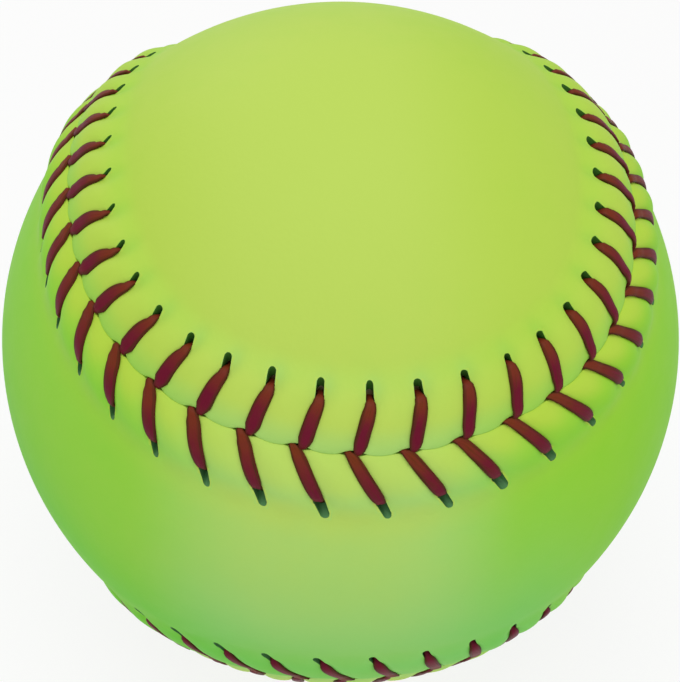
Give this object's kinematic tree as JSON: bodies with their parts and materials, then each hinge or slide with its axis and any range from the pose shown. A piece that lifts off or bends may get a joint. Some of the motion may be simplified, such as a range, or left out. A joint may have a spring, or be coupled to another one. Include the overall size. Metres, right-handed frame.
{
  "type": "softball",
  "caption": "Laced leather ball: moulded core in a cement coat, two figure-eight cover panels sewn edge to edge with a raised seam by two waxed strands.",
  "frame": {"origin": "centre of the ball", "axes": "+Y from the centre out through the middle of panel A's neck, -Y through the middle of panel B's neck; panel A's two lobes face +Z and -Z, panel B's two lobes face +X and -X; the ball rests on panel A's lobe at -Z"},
  "size_m": [0.097, 0.097, 0.097],
  "materials": {
    "core": "moulded polyurethane foam, dull cream skin",
    "cement": "dried rubber cement, translucent amber, slightly tacky",
    "cover_leather": "bright yellow-green dyed leather, matte with a fine grain",
    "thread": "dark red waxed thread, flattened, with a dull sheen"
  },
  "bodies": {
    "root": {"core": "core", "cement_coat": "cement", "cover_panel_a": "cover_leather", "cover_panel_b": "cover_leather", "stitch_thread_1": "thread", "stitch_thread_2": "thread"}
  },
  "joints": []
}
